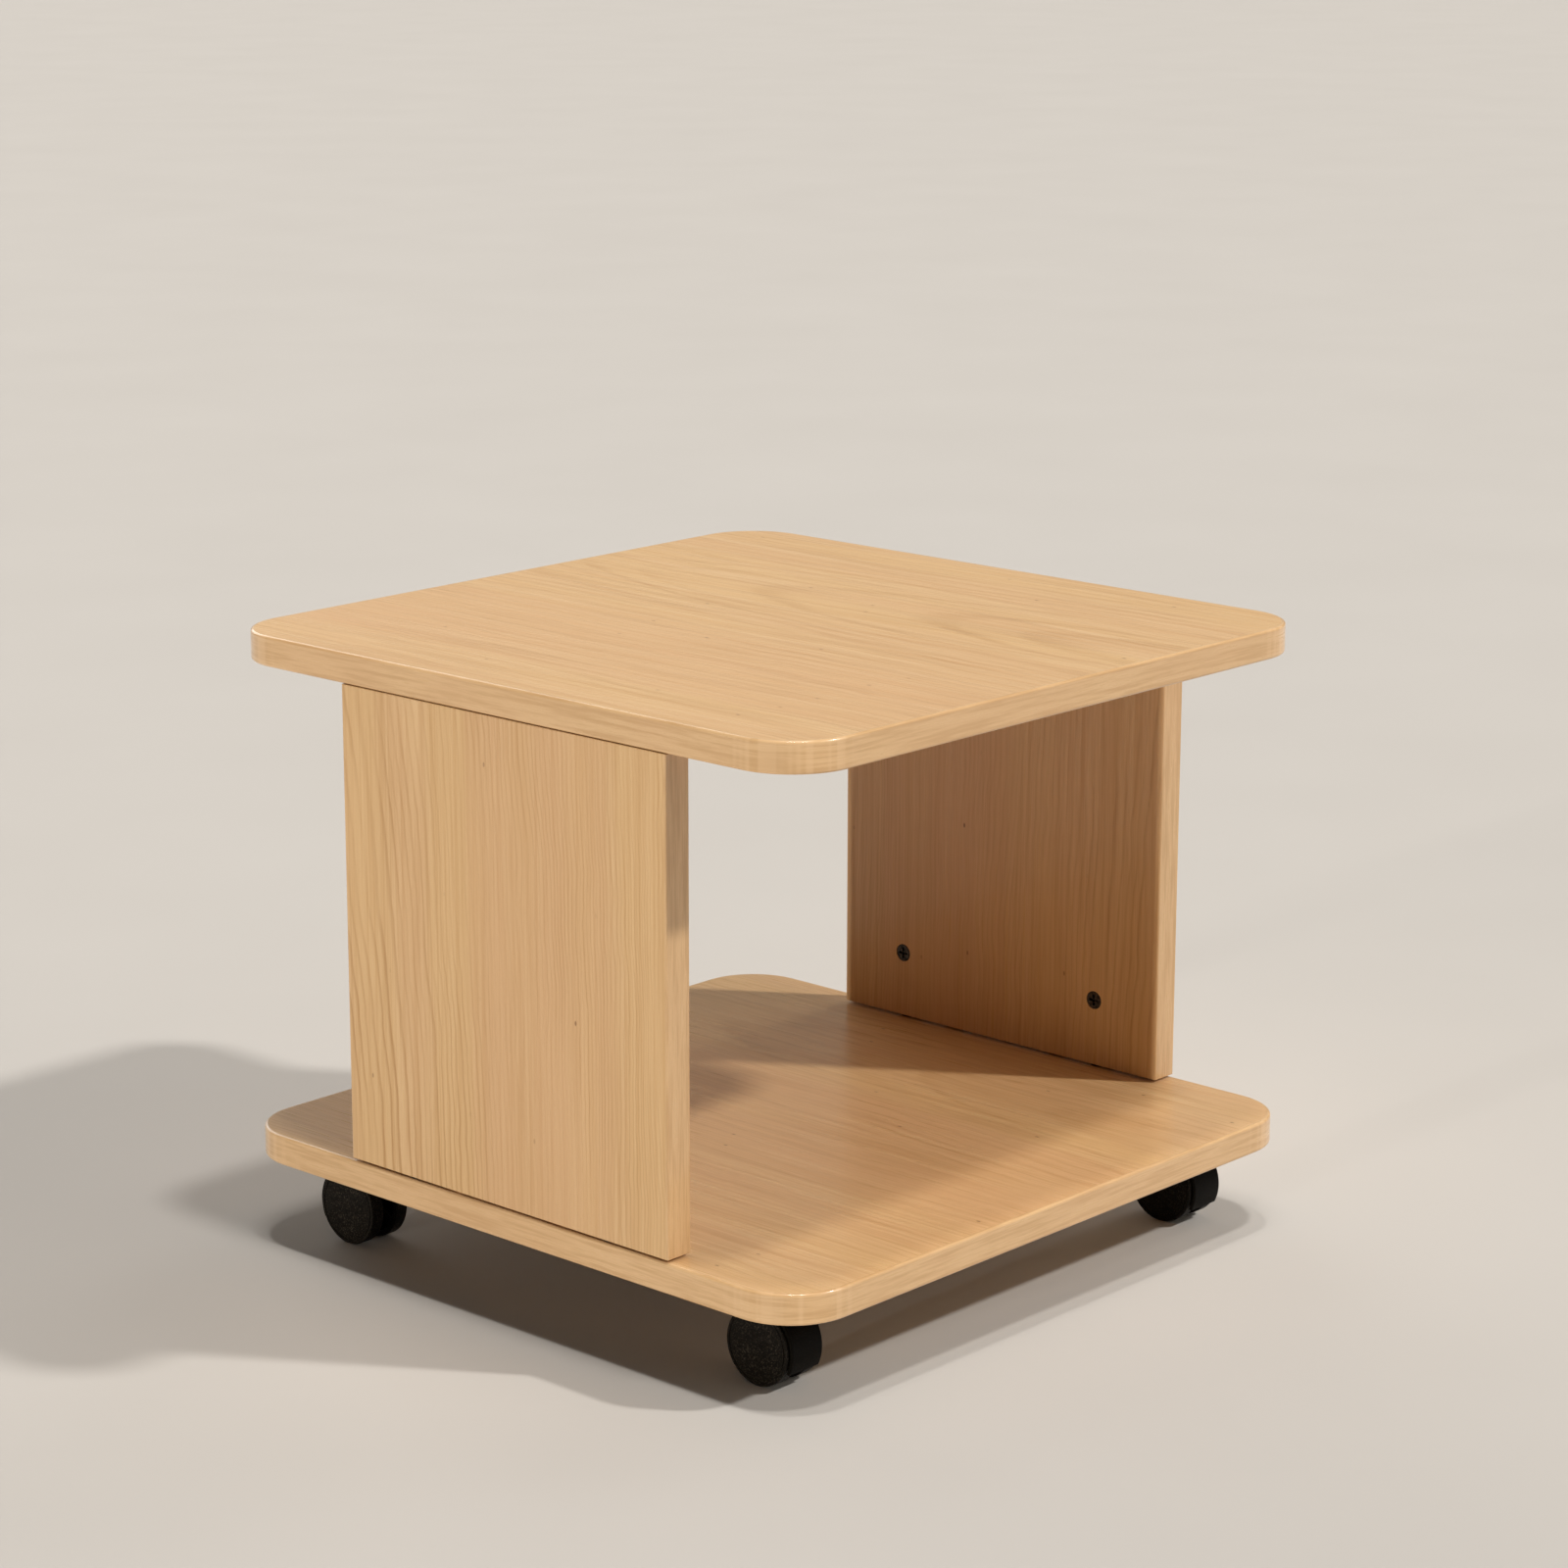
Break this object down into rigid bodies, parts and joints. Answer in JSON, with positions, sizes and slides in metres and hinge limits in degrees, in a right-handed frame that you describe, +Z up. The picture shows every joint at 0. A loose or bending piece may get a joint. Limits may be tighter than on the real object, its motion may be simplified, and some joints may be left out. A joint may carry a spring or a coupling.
{
  "type": "mobile printer stand",
  "caption": "Low rolling stand: square boards with rounded corners on upright side panels, open front and back, on swivelling twin-wheel casters; a printer stands above, with a shelf below.",
  "frame": {"origin": "on the floor, under the middle of the stand", "axes": "+Z up, -Y to the open front, +X to the right seen from the front"},
  "size_m": [0.4, 0.4, 0.33],
  "materials": {
    "board_laminate": "satin maple-pattern melamine laminate on particleboard, grain from front to back",
    "panel_laminate": "satin maple-pattern melamine laminate on particleboard, grain upright",
    "edge_band": "satin wood-pattern edge band with a rounded arris",
    "cam_metal": "blackened zinc casting with a cross recess",
    "bolt_steel": "zinc-plated steel",
    "insert_nylon": "black nylon",
    "dowel_wood": "plain beech",
    "caster_plate_steel": "black-coated pressed steel",
    "screw_steel": "zinc-plated steel",
    "pin_steel": "turned steel",
    "washer_nylon": "black nylon",
    "caster_housing": "black nylon with a fine spark texture",
    "caster_wheel": "black nylon with a fine spark texture"
  },
  "bodies": {
    "stand": {"bottom_board": "board_laminate", "bottom_board_edge_band": "edge_band", "caster_back_left_kingpin": "pin_steel", "caster_back_left_plate": "caster_plate_steel", "caster_back_left_plate_screws": "screw_steel", "caster_back_right_kingpin": "pin_steel", "caster_back_right_plate": "caster_plate_steel", "caster_back_right_plate_screws": "screw_steel", "caster_front_left_kingpin": "pin_steel", "caster_front_left_plate": "caster_plate_steel", "caster_front_left_plate_screws": "screw_steel", "caster_front_right_kingpin": "pin_steel", "caster_front_right_plate": "caster_plate_steel", "caster_front_right_plate_screws": "screw_steel", "left_panel": "panel_laminate", "left_panel_bolt_inserts": "insert_nylon", "left_panel_cam_bolts": "bolt_steel", "left_panel_cam_locks": "cam_metal", "left_panel_dowels": "dowel_wood", "left_panel_edge_bands": "edge_band", "right_panel": "panel_laminate", "right_panel_bolt_inserts": "insert_nylon", "right_panel_cam_bolts": "bolt_steel", "right_panel_cam_locks": "cam_metal", "right_panel_dowels": "dowel_wood", "right_panel_edge_bands": "edge_band", "top_board": "board_laminate", "top_board_edge_band": "edge_band"},
    "caster_front_left_swivel": {"caster_front_left_housing": "caster_housing", "caster_front_left_axle": "pin_steel", "caster_front_left_thrust_washer": "washer_nylon", "caster_front_left_grip_ring": "pin_steel"},
    "caster_front_left_wheel_left": {"caster_front_left_wheel_left": "caster_wheel"},
    "caster_front_left_wheel_right": {"caster_front_left_wheel_right": "caster_wheel"},
    "caster_front_right_swivel": {"caster_front_right_housing": "caster_housing", "caster_front_right_axle": "pin_steel", "caster_front_right_thrust_washer": "washer_nylon", "caster_front_right_grip_ring": "pin_steel"},
    "caster_front_right_wheel_left": {"caster_front_right_wheel_left": "caster_wheel"},
    "caster_front_right_wheel_right": {"caster_front_right_wheel_right": "caster_wheel"},
    "caster_back_left_swivel": {"caster_back_left_housing": "caster_housing", "caster_back_left_axle": "pin_steel", "caster_back_left_thrust_washer": "washer_nylon", "caster_back_left_grip_ring": "pin_steel"},
    "caster_back_left_wheel_left": {"caster_back_left_wheel_left": "caster_wheel"},
    "caster_back_left_wheel_right": {"caster_back_left_wheel_right": "caster_wheel"},
    "caster_back_right_swivel": {"caster_back_right_housing": "caster_housing", "caster_back_right_axle": "pin_steel", "caster_back_right_thrust_washer": "washer_nylon", "caster_back_right_grip_ring": "pin_steel"},
    "caster_back_right_wheel_left": {"caster_back_right_wheel_left": "caster_wheel"},
    "caster_back_right_wheel_right": {"caster_back_right_wheel_right": "caster_wheel"}
  },
  "joints": [
    {"name": "caster_front_left_swivel_turn", "type": "hinge", "parent": "stand", "child": "caster_front_left_swivel", "pos_m": [-0.16, -0.163, 0.03], "axis": [0, 0, 1], "continuous": true},
    {"name": "caster_front_left_wheel_left_spin", "type": "hinge", "parent": "caster_front_left_swivel", "child": "caster_front_left_wheel_left", "pos_m": [-0.1687, -0.1495, 0.02], "axis": [1, 0, 0], "continuous": true},
    {"name": "caster_front_left_wheel_right_spin", "type": "hinge", "parent": "caster_front_left_swivel", "child": "caster_front_left_wheel_right", "pos_m": [-0.1513, -0.1495, 0.02], "axis": [1, 0, 0], "continuous": true},
    {"name": "caster_front_right_swivel_turn", "type": "hinge", "parent": "stand", "child": "caster_front_right_swivel", "pos_m": [0.16, -0.163, 0.03], "axis": [0, 0, 1], "continuous": true},
    {"name": "caster_front_right_wheel_left_spin", "type": "hinge", "parent": "caster_front_right_swivel", "child": "caster_front_right_wheel_left", "pos_m": [0.1513, -0.1495, 0.02], "axis": [1, 0, 0], "continuous": true},
    {"name": "caster_front_right_wheel_right_spin", "type": "hinge", "parent": "caster_front_right_swivel", "child": "caster_front_right_wheel_right", "pos_m": [0.1687, -0.1495, 0.02], "axis": [1, 0, 0], "continuous": true},
    {"name": "caster_back_left_swivel_turn", "type": "hinge", "parent": "stand", "child": "caster_back_left_swivel", "pos_m": [-0.16, 0.159, 0.03], "axis": [0, 0, 1], "continuous": true},
    {"name": "caster_back_left_wheel_left_spin", "type": "hinge", "parent": "caster_back_left_swivel", "child": "caster_back_left_wheel_left", "pos_m": [-0.1687, 0.1455, 0.02], "axis": [1, 0, 0], "continuous": true},
    {"name": "caster_back_left_wheel_right_spin", "type": "hinge", "parent": "caster_back_left_swivel", "child": "caster_back_left_wheel_right", "pos_m": [-0.1513, 0.1455, 0.02], "axis": [1, 0, 0], "continuous": true},
    {"name": "caster_back_right_swivel_turn", "type": "hinge", "parent": "stand", "child": "caster_back_right_swivel", "pos_m": [0.16, 0.159, 0.03], "axis": [0, 0, 1], "continuous": true},
    {"name": "caster_back_right_wheel_left_spin", "type": "hinge", "parent": "caster_back_right_swivel", "child": "caster_back_right_wheel_left", "pos_m": [0.1513, 0.1455, 0.02], "axis": [1, 0, 0], "continuous": true},
    {"name": "caster_back_right_wheel_right_spin", "type": "hinge", "parent": "caster_back_right_swivel", "child": "caster_back_right_wheel_right", "pos_m": [0.1687, 0.1455, 0.02], "axis": [1, 0, 0], "continuous": true}
  ]
}
